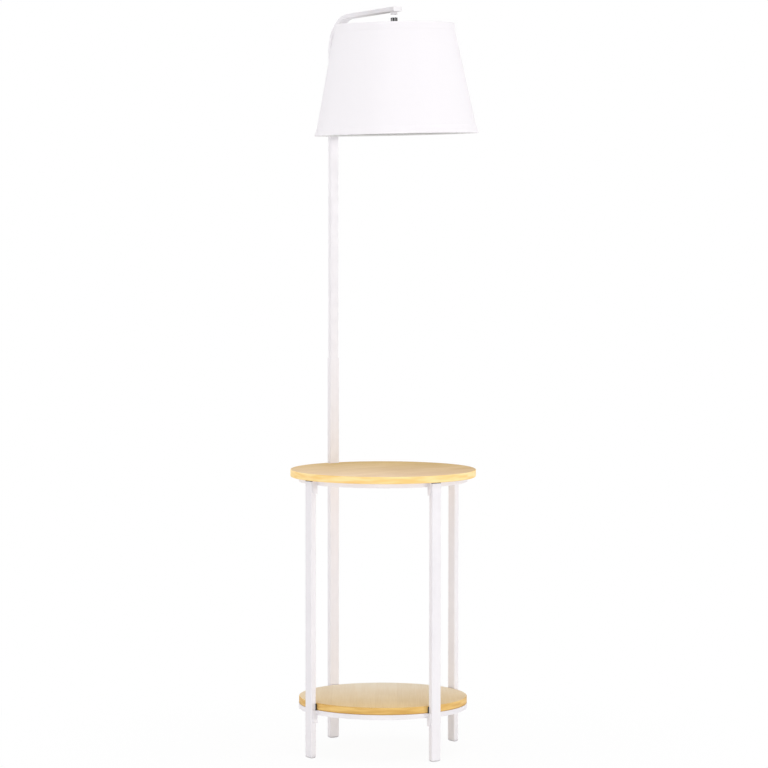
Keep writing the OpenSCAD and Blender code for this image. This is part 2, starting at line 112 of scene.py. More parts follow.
PAINT = Finish(
    "white_powder_coat", (0.80, 0.775, 0.80), (0.755, 0.73, 0.76),
    roughness=0.42, specular=0.4, grain=1.1 * MM, depth=0.018 * MM)
# The caps' lowest 5 mm darken: painted shade on the feet's shaded undersides.
CAP_PLASTIC = Finish(
    "white_plastic", (0.79, 0.765, 0.79), (0.74, 0.715, 0.74),
    roughness=0.5, specular=0.4, grain=0.5 * MM, depth=0.012 * MM, painted_shade_height=5 * MM)
# Painted light: a paler copy of the white plastic for the arm's end plug, whose end face is lit.
LIT_PLUG_PLASTIC = replace(
    CAP_PLASTIC, name="painted_lit_white_plastic", light=(0.92, 0.90, 0.92),
    dark=(0.88, 0.86, 0.88), painted_shade_height=0.0)
BLACK_PLASTIC = Finish(
    "black_plastic", (0.020, 0.020, 0.022), (0.012, 0.012, 0.013),
    roughness=0.38, grain=0.6 * MM, depth=0.02 * MM)
WIRE_COAT = Finish(
    "white_wire_coat", (0.80, 0.80, 0.79), (0.74, 0.74, 0.73),
    roughness=0.3, grain=2.0 * MM, depth=0.02 * MM)
# Painted highlight: the paler grey that the neck's rib crests take.
NECK_RIB_HIGHLIGHT = Finish(
    "neck_rib_highlight", (0.36, 0.355, 0.36), (0.27, 0.265, 0.27),
    roughness=0.3, grain=0.6 * MM, depth=0.01 * MM)
CERAMIC = Finish(
    "glazed_ceramic", (0.82, 0.80, 0.75), (0.76, 0.73, 0.67),
    roughness=0.18, coat=0.5, grain=3.0 * MM, depth=0.02 * MM)
BACKING = Finish(
    "shade_backing", (0.84, 0.84, 0.82), (0.80, 0.80, 0.78),
    roughness=0.55, specular=0.3, grain=4.0 * MM, depth=0.03 * MM)
ZINC = Finish(
    "zinc_steel", (0.60, 0.61, 0.63), (0.44, 0.45, 0.47),
    roughness=0.32, metallic=1.0, grain=0.4 * MM, depth=0.006 * MM)
BRASS = Finish(
    "shell_brass", (0.78, 0.60, 0.28), (0.60, 0.43, 0.18),
    roughness=0.3, metallic=1.0, grain=0.5 * MM, depth=0.006 * MM)
# Painted shade: the table face darkens towards the pole.
TABLE_FACE = Finish(
    "table_face_veneer", (0.98, 0.76, 0.53), (0.76, 0.52, 0.31),
    roughness=0.5, figure=Figure.VENEER, specular=0.05, grain=46 * MM, depth=0.03 * MM,
    heading=98.0, painted_far_light=(0.66, 0.45, 0.17), painted_far_dark=(0.46, 0.28, 0.06))
# Painted light and reflection: the shelf face pales towards the pole.
SHELF_FACE = replace(
    TABLE_FACE, name="shelf_face_veneer", light=(0.91, 0.67, 0.34), dark=(0.73, 0.51, 0.22),
    heading=144.5, painted_far_light=(0.97, 0.88, 0.73), painted_far_dark=(0.89, 0.75, 0.57))
# The bands' grain is how far up their painted shade reaches at the foot, in the gap above the
# ring.
TABLE_EDGE = Finish(
    "table_edge_band", (0.98, 0.80, 0.41), (0.90, 0.58, 0.20),
    roughness=0.5, figure=Figure.BAND, specular=0.2, grain=0.4 * MM, depth=0.02 * MM)
SHELF_EDGE = replace(
    TABLE_EDGE, name="shelf_edge_band", light=(0.84, 0.57, 0.20), dark=(0.62, 0.35, 0.09),
    grain=1.6 * MM)
CLOTH = Finish(
    "shade_cloth", (0.89, 0.865, 0.89), (0.85, 0.825, 0.855),
    roughness=0.9, figure=Figure.WEAVE, specular=0.1, grain=0.7 * MM, depth=0.05 * MM)
HEM_CLOTH = replace(CLOTH, name="hem_cloth", dark=(0.845, 0.82, 0.85))


class Graph:
    """Short calls for building a node tree."""

    def __init__(self, tree: Tree) -> None:
        """Keeps the node tree to build in."""
        self.tree = tree

    @classmethod
    def of(cls, owner: bpy.types.Material | bpy.types.World) -> "Graph":
        """Gives a material or a world an empty node tree.

        Args:
            owner: The material or the world.

        Returns:
            The tree's graph.
        """
        owner.use_nodes = True
        owner.node_tree.nodes.clear()
        return cls(owner.node_tree)

    def node(self, kind: str, inputs: dict | None = None, **settings: object) -> bpy.types.Node:
        """Adds a node.

        Args:
            kind: The node's type name.
            inputs: Values or sockets for its inputs, by name or number.
            settings: Properties of the node.

        Returns:
            The node.
        """
        made = self.tree.nodes.new(kind)
        for key, value in settings.items():
            setattr(made, key, value)
        for key, value in (inputs or {}).items():
            if isinstance(value, Socket):
                self.tree.links.new(value, made.inputs[key])
            else:
                made.inputs[key].default_value = value
        return made

    def math(self, operation: str, *values: float | Socket) -> Socket:
        """Adds a maths node on numbers or sockets, and gives its result."""
        return self.node("ShaderNodeMath", dict(enumerate(values)), operation=operation).outputs[0]

    def total(self, *parts: tuple[Socket, float]) -> Socket:
        """Adds up values, each times its share.

        Args:
            parts: Each value's socket and its share.

        Returns:
            The sum's socket.
        """
        result, *rest = [self.math("MULTIPLY", value, share) for value, share in parts]
        for part in rest:
            result = self.math("ADD", result, part)
        return result

    def span(self, value: Socket, low: float, high: float, to_low: float = 0.0,
             to_high: float = 1.0) -> Socket:
        """Maps a value from one range to another, smoothly and clamped.

        Args:
            value: The socket to map.
            low: Start of the range that comes in.
            high: End of the range that comes in.
            to_low: Start of the range that goes out.
            to_high: End of the range that goes out.

        Returns:
            The mapped value's socket.
        """
        made = self.node("ShaderNodeMapRange", {0: value, 1: low, 2: high, 3: to_low, 4: to_high},
                         interpolation_type="SMOOTHSTEP", clamp=True)
        return made.outputs[0]

    def mix(self, factor: float | Socket, low: Color | Socket, high: Color | Socket) -> Socket:
        """Mixes two colours.

        Args:
            factor: The share of the second colour.
            low: The first colour, or its socket.
            high: The second colour, or its socket.

        Returns:
            The mixed colour's socket.
        """
        low, high = [value if isinstance(value, Socket) else (*value, 1.0)
                     for value in (low, high)]
        made = self.node("ShaderNodeMix", {0: factor, 6: low, 7: high}, data_type="RGBA")
        return made.outputs[2]

    def noise(self, vector: Socket, scale: float | Socket, octaves: float = 2.0,
              fineness: float = 0.5) -> Socket:
        """Adds noise at a scale; the fineness is the strength of its finer octaves."""
        return self.node("ShaderNodeTexNoise", {"Vector": vector, "Scale": scale,
                         "Detail": octaves, "Roughness": fineness}).outputs[0]

    def streaks(self, vector: Socket, cells: Triple, octaves: float = 2.0,
                fineness: float = 0.5) -> Socket:
        """Adds noise with its own number of cells to the metre along each axis."""
        return self.noise(self.stretch(vector, cells), 1.0, octaves, fineness)

    def stretch(self, vector: Socket, scale: Triple, turn: float = 0.0) -> Socket:
        """Turns coordinates about Z and then scales them.

        Args:
            vector: The coordinates' socket.
            scale: Factors along the turned axes.
            turn: Heading of the axis that becomes X, in degrees.

        Returns:
            The mapped coordinates' socket.
        """
        turned = self.node("ShaderNodeVectorRotate", {"Vector": vector, "Axis": (0, 0, 1),
                           "Angle": -math.radians(turn)}, rotation_type="AXIS_ANGLE")
        return self.node("ShaderNodeVectorMath", {0: turned.outputs[0], 1: scale},
                         operation="MULTIPLY").outputs[0]


@dataclass
class Patterns:
    """Node groups that the materials share, each made once.

    Cells are noise cells to the metre, along the grain, across it and into the wood. The
    spans are the stretch of a noise over which something sets in. A strip's figure is moved
    by up to strip_shifts metres, along it and into the wood.
    """

    slow_cells: float = 14.0
    rub_cells: float = 90.0
    cloud_cells: float = 7.0
    wander_cells: float = 60.0
    figure_cells: Triple = (2.2, 26.0, 6.0)
    streak_cells: Triple = (9.0, 330.0, 9.0)
    pore_cells: Triple = (70.0, 2600.0, 70.0)
    patch_cells: Triple = (13.0, 95.0, 1.0)
    line_cells: Triple = (16.0, 900.0, 1.0)
    band_pore_cells: Triple = (90.0, 3000.0, 1.0)
    weft_cells: Triple = (22.0, 1100.0, 1.0)
    warp_cells: Triple = (1100.0, 22.0, 1.0)
    even_span: Pair = (0.3, 0.7)
    slow_span: Pair = (0.3, 0.75)
    rub_span: Pair = (0.25, 0.8)
    rub_tones: Pair = (0.55, 1.0)
    patch_span: Pair = (0.32, 0.68)
    pore_span: Pair = (0.62, 0.72)
    slub_span: Pair = (0.5, 0.8)
    seam_span: Pair = (0.490, 0.499)
    rings: float = 7.0
    strip_shifts: Pair = (3.7, 0.4)
    paler: float = 0.45
    # Fade and strength of the painted shade at a band's foot.
    gap_shade_fade: float = 0.4 * MM
    gap_shade_tone: float = 2.2
    wander: float = 0.9
    made: dict[Figure, Tree] = field(default_factory=dict)

    def group(self, figure: Figure) -> Tree:
        """Gives a pattern's group, and makes it at its first use.

        Args:
            figure: The pattern.

        Returns:
            The group's node tree.
        """
        makers = {Figure.COAT: self._coat, Figure.VENEER: self._veneer,
                  Figure.BAND: self._band, Figure.WEAVE: self._weave}
        if figure not in self.made:
            self.made[figure] = makers[figure]()
        return self.made[figure]

    @staticmethod
    def _start(figure: Figure, length: str) -> tuple[Graph, Socket, Socket]:
        """Starts a group with its inputs and outputs.

        Args:
            figure: The pattern that it draws.
            length: Name of the length that it takes beside its coordinates.

        Returns:
            The graph, the coordinates' socket and the length's socket.
        """
        tree = bpy.data.node_groups.new(f"{figure.value}_pattern", "ShaderNodeTree")
        new_socket = tree.interface.new_socket
        new_socket(name="Vector", in_out="INPUT", socket_type="NodeSocketVector")
        new_socket(name=length, in_out="INPUT", socket_type="NodeSocketFloat")
        for name in ("Tone", "Height", "Gloss"):
            new_socket(name=name, in_out="OUTPUT", socket_type="NodeSocketFloat")
        graph = Graph(tree)
        inputs = graph.node("NodeGroupInput").outputs
        return graph, inputs["Vector"], inputs[length]

    @staticmethod
    def _end(graph: Graph, **values: Socket) -> Tree:
        """Links the values to a group's outputs, and gives its node tree."""
        graph.node("NodeGroupOutput", values)
        return graph.tree

    def _coat(self) -> Tree:
        """Fine dimples, slow unevenness and a little grime for coats and plain metal.

        Returns:
            The group's node tree.
        """
        g, vector, grain = self._start(Figure.COAT, "Grain")
        dimples = g.noise(vector, g.math("DIVIDE", 1.0, grain))
        slow = g.noise(vector, self.slow_cells, octaves=4.0, fineness=0.6)
        rub = g.noise(vector, self.rub_cells, octaves=3.0, fineness=0.65)
        tone = g.math("MULTIPLY", g.span(slow, *self.slow_span),
                      g.span(rub, *self.rub_span, *self.rub_tones))
        height = g.total((dimples, 1.0), (slow, 0.3))
        return self._end(g, Tone=tone, Height=height, Gloss=g.span(rub, *self.even_span))

    def _veneer(self) -> Tree:
        """Veneer strips laid side by side, with growth figure, fine grain and pores.

        Returns:
            The group's node tree.
        """
        g, vector, strip = self._start(Figure.VENEER, "Strip")
        along, aside, _ = g.node("ShaderNodeSeparateXYZ", {0: vector}).outputs
        across = g.math("DIVIDE", aside, strip)
        own = g.node("ShaderNodeTexWhiteNoise", {"W": g.math("FLOOR", across)},
                     noise_dimensions="1D").outputs[0]
        shift, into = [g.math("MULTIPLY", own, most) for most in self.strip_shifts]
        moved = g.node("ShaderNodeCombineXYZ",
                       {0: g.math("ADD", along, shift), 1: aside, 2: into}).outputs[0]
        figure = g.streaks(moved, self.figure_cells, octaves=3.0, fineness=0.55)
        rings = g.math("PINGPONG", g.math("MULTIPLY", figure, self.rings), 1.0)
        streak = g.streaks(moved, self.streak_cells, octaves=4.0, fineness=0.65)
        pore = g.span(g.streaks(moved, self.pore_cells), *self.pore_span)
        cloud = g.span(g.noise(vector, self.cloud_cells), *self.even_span)
        off_middle = g.math("ABSOLUTE", g.math("SUBTRACT", g.math("FRACT", across), 0.5))
        seam = g.span(off_middle, *self.seam_span)
        tone = g.total((rings, 0.20), (streak, 0.62), (own, 0.50), (cloud, 0.34), (pore, 0.55),
                       (seam, 0.30))
        height = g.math("SUBTRACT", g.math("MULTIPLY", streak, 0.6),
                        g.total((pore, 0.5), (seam, 0.8)))
        return self._end(g, Tone=g.math("SUBTRACT", tone, self.paler), Height=height,
                         Gloss=g.span(streak, *self.even_span))

    def _band(self) -> Tree:
        """Edge band wound round a board; Vector is (arc, height above the underside).

        Returns:
            The group's node tree.
        """
        g, vector, foot = self._start(Figure.BAND, "Foot")
        patch = g.streaks(vector, self.patch_cells)
        line = g.streaks(vector, self.line_cells, octaves=4.0, fineness=0.7)
        pore = g.span(g.streaks(vector, self.band_pore_cells), *self.pore_span)
        up = g.node("ShaderNodeSeparateXYZ", {0: vector}).outputs[1]
        # Painted shade: the band darkens at its foot, in the shaded gap above the ring.
        painted_gap_shade = g.span(g.math("SUBTRACT", up, foot), -self.gap_shade_fade, self.gap_shade_fade,
                         self.gap_shade_tone, 0.0)
        tone = g.total((g.span(patch, *self.patch_span), 0.75), (line, 0.35), (pore, 0.12),
                       (painted_gap_shade, 1.0))
        return self._end(g, Tone=tone, Height=g.math("SUBTRACT", line, pore),
                         Gloss=g.span(patch, *self.even_span))

    def _weave(self) -> Tree:
        """Plain weave with uneven yarns; Vector is the flat cloth's own place in metres.

        Returns:
            The group's node tree.
        """
        g, vector, grain = self._start(Figure.WEAVE, "Grain")
        place = g.node("ShaderNodeSeparateXYZ", {0: vector}).outputs
        wander = g.math("MULTIPLY", g.noise(vector, self.wander_cells), self.wander)
        yarns = []
        for axis in (0, 1):
            at = g.math("ADD", g.math("DIVIDE", place[axis], grain), wander)
            yarns.append(g.math("SINE", g.math("MULTIPLY", at, math.tau)))
        over = g.math("MULTIPLY", *yarns)
        slubs = [g.streaks(vector, cells, octaves=3.0, fineness=0.6)
                 for cells in (self.weft_cells, self.warp_cells)]
        slub = g.math("ADD", *[g.span(each, *self.slub_span) for each in slubs])
        tone = g.total((g.span(over, -1.0, 1.0), 0.45), (slub, 0.4))
        height = g.total((over, 0.5), (slub, 0.8))
        return self._end(g, Tone=tone, Height=height, Gloss=slub)


@dataclass
class Materials:
    """Makes each finish's material once; the boards take painted light and shade near the pole."""

    far_side: Pair = (-0.814, 0.580)
    far_half: float = 0.19
    coat_roughness: float = 0.12
    rough_shares: Pair = (0.88, 1.14)
    # Colour and share of the painted shade at a piece's foot.
    painted_shade_color: Color = (0.42, 0.41, 0.42)
    painted_shade_share: float = 0.75
    patterns: Patterns = field(default_factory=Patterns)
    made: dict[str, bpy.types.Material] = field(default_factory=dict)

    def get(self, finish: Finish) -> bpy.types.Material:
        """Gives a finish's material.

        Args:
            finish: The finish.

        Returns:
            The material.
        """
        if finish.name not in self.made:
            self.made[finish.name] = self._build(finish)
        return self.made[finish.name]

    def _painted_light_ramp(self, g: Graph, vector: Socket) -> Socket:
        """Measures the way from a board's free side to the pole, for its painted light and shade.

        Args:
            g: The material's graph.
            vector: The object coordinates' socket.

        Returns:
            Zero at the free side and one at the pole's side.
        """
        along = g.node("ShaderNodeVectorMath", {0: vector, 1: (*self.far_side, 0.0)},
                       operation="DOT_PRODUCT").outputs["Value"]
        middle = self.far_side[0] * Layout.read().middle.x
        return g.node("ShaderNodeMapRange", {0: along, 1: middle - self.far_half,
                      2: middle + self.far_half}).outputs[0]

    def _build(self, finish: Finish) -> bpy.types.Material:
        """Makes a finish's material.

        Args:
            finish: The finish.

        Returns:
            The material.
        """
        made = bpy.data.materials.new(finish.name)
        g = Graph.of(made)
        coords = g.node("ShaderNodeTexCoord")
        on_uv = finish.figure in (Figure.BAND, Figure.WEAVE)
        vector = coords.outputs["UV" if on_uv else "Object"]
        if finish.figure is Figure.VENEER:
            vector = g.stretch(vector, (1.0, 1.0, 1.0), finish.heading)
        pattern = g.node("ShaderNodeGroup", {"Vector": vector, 1: finish.grain},
                         node_tree=self.patterns.group(finish.figure))
        tone = pattern.outputs["Tone"]
        color = g.mix(tone, finish.light, finish.dark)
        # Painted light and shade: the boards' colour shifts towards the pole.
        if finish.painted_far_light:
            color = g.mix(self._painted_light_ramp(g, coords.outputs["Object"]), color,
                          g.mix(tone, finish.painted_far_light, finish.painted_far_dark))
        # Painted shade: the lowest millimetres of a piece darken, where the feet's undersides are
        # shaded.
        if finish.painted_shade_height:
            up = g.node("ShaderNodeSeparateXYZ", {0: coords.outputs["Object"]}).outputs[2]
            foot_painted_shade = g.span(up, 0.0, finish.painted_shade_height, self.painted_shade_share, 0.0)
            color = g.mix(foot_painted_shade, color, self.painted_shade_color)
        rough = g.span(pattern.outputs["Gloss"], 0.0, 1.0,
                       *[min(finish.roughness * share, 1.0) for share in self.rough_shares])
        bump = g.node("ShaderNodeBump", {"Strength": 1.0, "Distance": finish.depth,
                      "Height": pattern.outputs["Height"]})
        shader = g.node("ShaderNodeBsdfPrincipled", {
            "Base Color": color, "Roughness": rough, "Metallic": finish.metallic,
            "Specular IOR Level": finish.specular, "Coat Weight": finish.coat,
            "Coat Roughness": self.coat_roughness, "Normal": bump.outputs[0]})
        g.node("ShaderNodeOutputMaterial", {"Surface": shader.outputs[0]})
        return made


# ---- Meshes ----


def linked(name: str, data: bpy.types.ID) -> Piece:
    """Makes an object and links it to the scene.

    Args:
        name: The object's name.
        data: Its mesh, lamp or camera.

    Returns:
        The object.
    """
    made = bpy.data.objects.new(name, data)
    bpy.context.scene.collection.objects.link(made)
    return made


def nearest_turn(turn: float, about: float) -> float:
    """Adds full turns of tau to an angle until it lies nearest to another."""
    return turn + math.tau * round((about - turn) / math.tau)


def outward(turn: float, reach: float = 1.0, height: float = 0.0) -> Vector:
    """Gives a way out at a heading in radians, with its reach and its height."""
    return Vector((reach * math.cos(turn), reach * math.sin(turn), height))


def axis_at(point: Vector, axis: Vector, roll: float = 0.0) -> Matrix:
    """Gives a place at a point, its Z along an axis and rolled about it in radians."""
    turn = axis.to_track_quat("Z", "Y").to_matrix().to_4x4()
    return Matrix.Translation(point) @ turn @ Matrix.Rotation(roll, 4, "Z")


@dataclass(frozen=True)
class Lean:
    """How the shade hangs from its ball at rest, in metres and degrees."""

    ball: Triple = (0.222, 0.0, 1.553)
    angle: float = 1.3
    heading: float = -35.5

    def place(self) -> Matrix:
        """Gives the leaning axis, with its origin at the ball's centre."""
        lean = Matrix.Rotation(math.radians(self.angle), 4, outward(math.radians(self.heading)))
        return Matrix.Translation(self.ball) @ lean


@dataclass(frozen=True)
class Layout:
    """Where the boards and legs stand in the frame, in metres."""

    middle: Vector
    leg_inside: float
    leg_width: float
    leg_headings: tuple[int, ...] = (180, 270, 0, 90)

    @classmethod
    def read(cls) -> "Layout":
        """Reads the layout from the frame's nodes.

        Returns:
            The layout.
        """
        board_low, board_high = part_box("table_board")
        leg_low, leg_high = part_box("leg_front")
        middle = Vector(((board_low.x + board_high.x) / 2, 0.0, 0.0))
        return cls(middle, leg_low.x - middle.x, leg_high.y - leg_low.y)

    def point(self, radius: float, heading: float, height: float) -> Vector:
        """Gives a point at a radius and a heading in radians from the boards' middle."""
        return self.middle + outward(heading, radius, height)


class Shape:
    """A mesh under construction; vertices nearer than WELD metres are one."""

    WELD: ClassVar[float] = 1e-6

    def __init__(self) -> None:
        """Starts an empty mesh with a UV layer."""
        self.bm = bmesh.new()
        self.uv = self.bm.loops.layers.uv.new("UVMap")

    def line(self, points: Iterable[Sequence[float]], closed: bool) -> list[bmesh.types.BMEdge]:
        """Adds a few vertices and joins them in a row.

        Args:
            points: The vertices' places.
            closed: Whether the row ends where it starts.

        Returns:
            The row's edges.
        """
        verts = [self.bm.verts.new(point) for point in points]
        return [self.bm.edges.new(pair)
                for pair in zip(verts, verts[1:] + verts[:1] if closed else verts[1:])]

    def spin(self, outline: Outline, place: Matrix, steps: int,
             closed: bool = True) -> list[bmesh.types.BMFace]:
        """Turns an outline round an axis, with its faces outward.

        Args:
            outline: Points as (radius, height).
            place: The axis, as its place.
            steps: Number of segments round.
            closed: Whether the outline ends where it starts.

        Returns:
            The faces.
        """
        before = set(self.bm.faces)
        edges = self.line([(radius, 0.0, height) for radius, height in outline], closed)
        bmesh.ops.spin(self.bm, geom=self.verts_of(edges) + edges, cent=(0.0, 0.0, 0.0),
                       axis=(0.0, 0.0, 1.0), angle=math.tau, steps=steps, use_merge=True)
        made = [face for face in self.bm.faces if face not in before]
        bmesh.ops.remove_doubles(self.bm, verts=self.verts_of(made), dist=self.WELD)
        made = [face for face in self.bm.faces if face not in before]
        bmesh.ops.recalc_face_normals(self.bm, faces=made)
        bmesh.ops.transform(self.bm, matrix=place, verts=self.verts_of(made))
        return made

    def take(self, other: "Shape") -> None:
        """Moves another shape's mesh into this one.

        Args:
            other: The other shape, which is used up.
        """
        mesh = bpy.data.meshes.new("part")
        other.bm.to_mesh(mesh)
        other.bm.free()
        self.bm.from_mesh(mesh)
        bpy.data.meshes.remove(mesh)

    @staticmethod
    def verts_of(parts: Iterable[bmesh.types.BMFace | bmesh.types.BMEdge]
                 ) -> list[bmesh.types.BMVert]:
        """Gives the vertices of some faces or edges, each once and in their order."""
        return list(dict.fromkeys(vert for part in parts for vert in part.verts))

    def finish(self, name: str, materials: Sequence[bpy.types.Material],
               angle: float) -> Piece:
        """Makes the object.

        Args:
            name: The object's name.
            materials: Its materials, in order of index.
            angle: Edges sharper than this many degrees stay sharp.

        Returns:
            The object, linked to the scene.
        """
        mesh = bpy.data.meshes.new(name)
        self.bm.to_mesh(mesh)
        self.bm.free()
        for material in materials:
            mesh.materials.append(material)
        mesh.shade_smooth()
        mesh.set_sharp_from_angle(angle=math.radians(angle))
        return linked(name, mesh)


# ---- Sub-assemblies ----


@dataclass
class Workshop:
    """What every sub-assembly builds with."""

    nodes: dict[str, Piece]
    layout: Layout
    lean: Lean = Lean()
    materials: Materials = field(default_factory=Materials)

    def dress(self, names: Iterable[str], finish: Finish) -> None:
        """Gives CAD nodes a finish.

        Args:
            names: The nodes.
            finish: The finish.
        """
        for name in names:
            mesh = self.nodes[name].data
            mesh.materials.clear()
            mesh.materials.append(self.materials.get(finish))
            for polygon in mesh.polygons:
                polygon.material_index = 0
            LOG.info("%s: dressed in %s", name, finish.name)

    def add(self, made: Piece, body: str, slot: str, *nodes: str) -> Piece:
        """Hands a modelled piece to the frame.

        Args:
            made: The piece.
            body: The CAD body that it rides on.
            slot: The record's material slot; not used.
            nodes: The CAD nodes that it stands for.

        Returns:
            The piece.
        """
        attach(made, body)
        if nodes:
            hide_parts(*nodes)
        LOG.info("%s: built with %d faces on %s", made.name, len(made.data.polygons), body)
        return made


@dataclass
class Boards:
    """The round table board and shelf, with veneered faces and a banded rim."""

    shop: Workshop
    flat_from: float = 0.92

    def build(self) -> None:
        """Dresses both boards."""
        self._band("table_board", TABLE_FACE, TABLE_EDGE)
        self._band("shelf_board", SHELF_FACE, SHELF_EDGE)

    def _band(self, name: str, face: Finish, edge: Finish) -> None:
        """Splits a board's faces into its flat sides and its rim.

        Args:
            name: The CAD node.
            face: Finish of the flat sides.
            edge: Finish of the rim.
        """
        mesh = self.shop.nodes[name].data
        mesh.materials.clear()
        for finish in (face, edge):
            mesh.materials.append(self.shop.materials.get(finish))
        uv = mesh.uv_layers.get("UVMap") or mesh.uv_layers.new(name="UVMap")
        mesh.uv_layers.active = uv
        middle, under = self.shop.layout.middle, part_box(name)[0].z
        for polygon in mesh.polygons:
            polygon.material_index = int(abs(polygon.normal.z) < self.flat_from)
            center = polygon.center - middle
            about = math.atan2(center.y, center.x)
            for loop in polygon.loop_indices:
                off = mesh.vertices[mesh.loops[loop].vertex_index].co - middle
                turn = nearest_turn(math.atan2(off.y, off.x), about)
                uv.data[loop].uv = (turn * off.xy.length, off.z - under)
        LOG.info("%s: dressed in %s and %s", name, face.name, edge.name)


@dataclass
class Shade:
    """The tapered shade: backed cloth, hems, seam and the wires that hold it.

    The rows are points of the shade's outer outline as (depth below the ball, radius). Edges
    over SHARP degrees stay sharp, and a normal whose outward part is under INWARD is backing.
    """

    SHARP: ClassVar[float] = 60.0
    INWARD: ClassVar[float] = -0.5

    shop: Workshop
    rows: tuple[Pair, ...] = ((0.025, 0.125), (0.043, 0.12664), (0.237, 0.16586),
                               (0.255, 0.1715))
    steps: int = 192
    parts: int = 8
    cloth_t: float = 1.0 * MM
    hem_t: float = 0.7 * MM
    cloth_gap: float = 0.3 * MM
    under_hem: float = 0.12 * MM
    tuck: float = 1.2 * MM
    roll: float = 1.6 * MM
    roll_steps: int = 8
    hem_steps: int = 5
    heel: float = 0.6 * MM
    thin_from: float = 3.0 * MM
    thin_by: float = 0.03 * MM
    edge_in: float = 0.05 * MM
    seam_w: float = 8.0 * MM
    seam_lift: float = 0.25 * MM
    seam_flat: float = 0.8

    def build(self) -> None:
        """Makes the cloth pieces and dresses the wires."""
        self.shop.dress(("shade_spider", "bottom_wire"), WIRE_COAT)
        cloth = self._cloth()
        trims = [self._hem("top_hem_cloth", 0, 1, "top_hem"),
                 self._hem("bottom_hem_cloth", 3, 2, "bottom_hem"), self._seam()]

    def _flat(self, depth: float, angle: float) -> Pair:
        """Finds where a point of the shade lies on the flat cloth.

        Args:
            depth: Depth below the ball.
            angle: Heading about the shade's axis, in radians.

        Returns:
            The place on the cloth in metres.
        """
        (top, top_r), (bottom, bottom_r) = self.rows[0], self.rows[-1]
        taper = (bottom_r - top_r) / (bottom - top)
        lean = math.atan(taper)
        reach = (top_r + taper * (depth - top)) / math.sin(lean)
        turn = angle * math.sin(lean)
        return reach * math.sin(turn), reach * math.cos(turn)

    def _unroll(self, shape: Shape, faces: Iterable[bmesh.types.BMFace], backed: bool) -> None:
        """Gives faces the flat cloth's coordinates.

        Args:
            shape: The mesh that holds them.
            faces: The faces.
            backed: Whether those that look towards the axis take the second material.
        """
        back = self.shop.lean.place().inverted()
        turned = back.to_3x3()
        for face in faces:
            middle = back @ face.calc_center_median()
            facing = (turned @ face.normal).xy.dot(middle.xy.normalized())
            face.material_index = int(backed and facing < self.INWARD)
            about = math.atan2(middle.y, middle.x)
            for loop in face.loops:
                co = back @ loop.vert.co
                turn = nearest_turn(math.atan2(co.y, co.x), about)
                loop[shape.uv].uv = self._flat(-co.z, turn)

    def _skin(self, name: str, outline: Outline, *finishes: Finish) -> Piece:
        """Turns a closed outline into a shell of cloth.

        Args:
            name: The piece's name.
            outline: Points as (depth, radius).
            finishes: Its finish and, where it is backed, the backing's finish.

        Returns:
            The piece.
        """
        shape = Shape()
        faces = shape.spin([(radius, -depth) for depth, radius in outline],
                           self.shop.lean.place(), self.steps)
        self._unroll(shape, faces, len(finishes) > 1)
        return shape.finish(name, [self.shop.materials.get(each) for each in finishes],
                            self.SHARP)

    def _line(self, inset: float) -> list[Pair]:
        """Places points along the shade's outline.

        Args:
            inset: Distance inside the outline.

        Returns:
            Points as (depth, radius), with the first and last drawn in under the hems.
        """
        made = []
        for (depth, radius), (next_depth, next_radius) in zip(self.rows, self.rows[1:]):
            for part in range(self.parts):
                share = part / self.parts
                made.append((depth + (next_depth - depth) * share,
                             radius + (next_radius - radius) * share - inset))
        depth, radius = self.rows[-1]
        made[0] = (made[0][0] + self.tuck, made[0][1])
        return [*made, (depth - self.tuck, radius - inset)]

    def _cloth(self) -> Piece:
        """Makes the backed cloth, whose edges end inside the hems.

        Returns:
            The piece.
        """
        inner = self._line(self.hem_t + self.cloth_gap + self.cloth_t)
        made = self._skin("shade_cloth_skin", [*self._line(self.under_hem), *inner[::-1]],
                          CLOTH, BACKING)
        return self.shop.add(made, "shade_head", "cloth", "shade_cloth")

    def _hem(self, name: str, edge: int, inner: int, node: str) -> Piece:
        """Makes a folded hem: its free edge is rolled inward and its other edge thins out.

        Args:
            name: The piece's name.
            edge: The outline's row at the shade's free edge.
            inner: The outline's row where the hem thins out.
            node: The CAD node that it stands for.

        Returns:
            The piece.
        """
        (depth, radius), (inner_depth, inner_radius) = self.rows[edge], self.rows[inner]
        way = 1.0 if inner_depth > depth else -1.0
        slope = (inner_radius - radius) / (inner_depth - depth)
        length = abs(inner_depth - depth)

        def at(up: float, inset: float) -> Pair:
            """Gives the (depth, radius) at a way up from the free edge and inside the outline."""
            return depth + way * up, radius + slope * way * up - inset

        turns = [math.pi / 2 * k / self.roll_steps for k in range(self.roll_steps + 1)]
        rolled = [at(self.roll * (1 - math.cos(turn)), self.roll * (1 - math.sin(turn)))
                  for turn in turns]
        face = [at(self.roll + (length - self.roll) * k / self.hem_steps, 0.0)
                for k in range(1, self.hem_steps)]
        thin = [at(length - self.thin_from, self.thin_by),
                at(length, self.under_hem + self.edge_in)]
        inside = self.hem_t + self.under_hem
        back = [at(length, inside), at(self.roll, inside), at(self.heel, self.roll + self.hem_t)]
        made = self._skin(name, rolled + face + thin + back, HEM_CLOTH)
        return self.shop.add(made, "shade_head", "cloth", node)

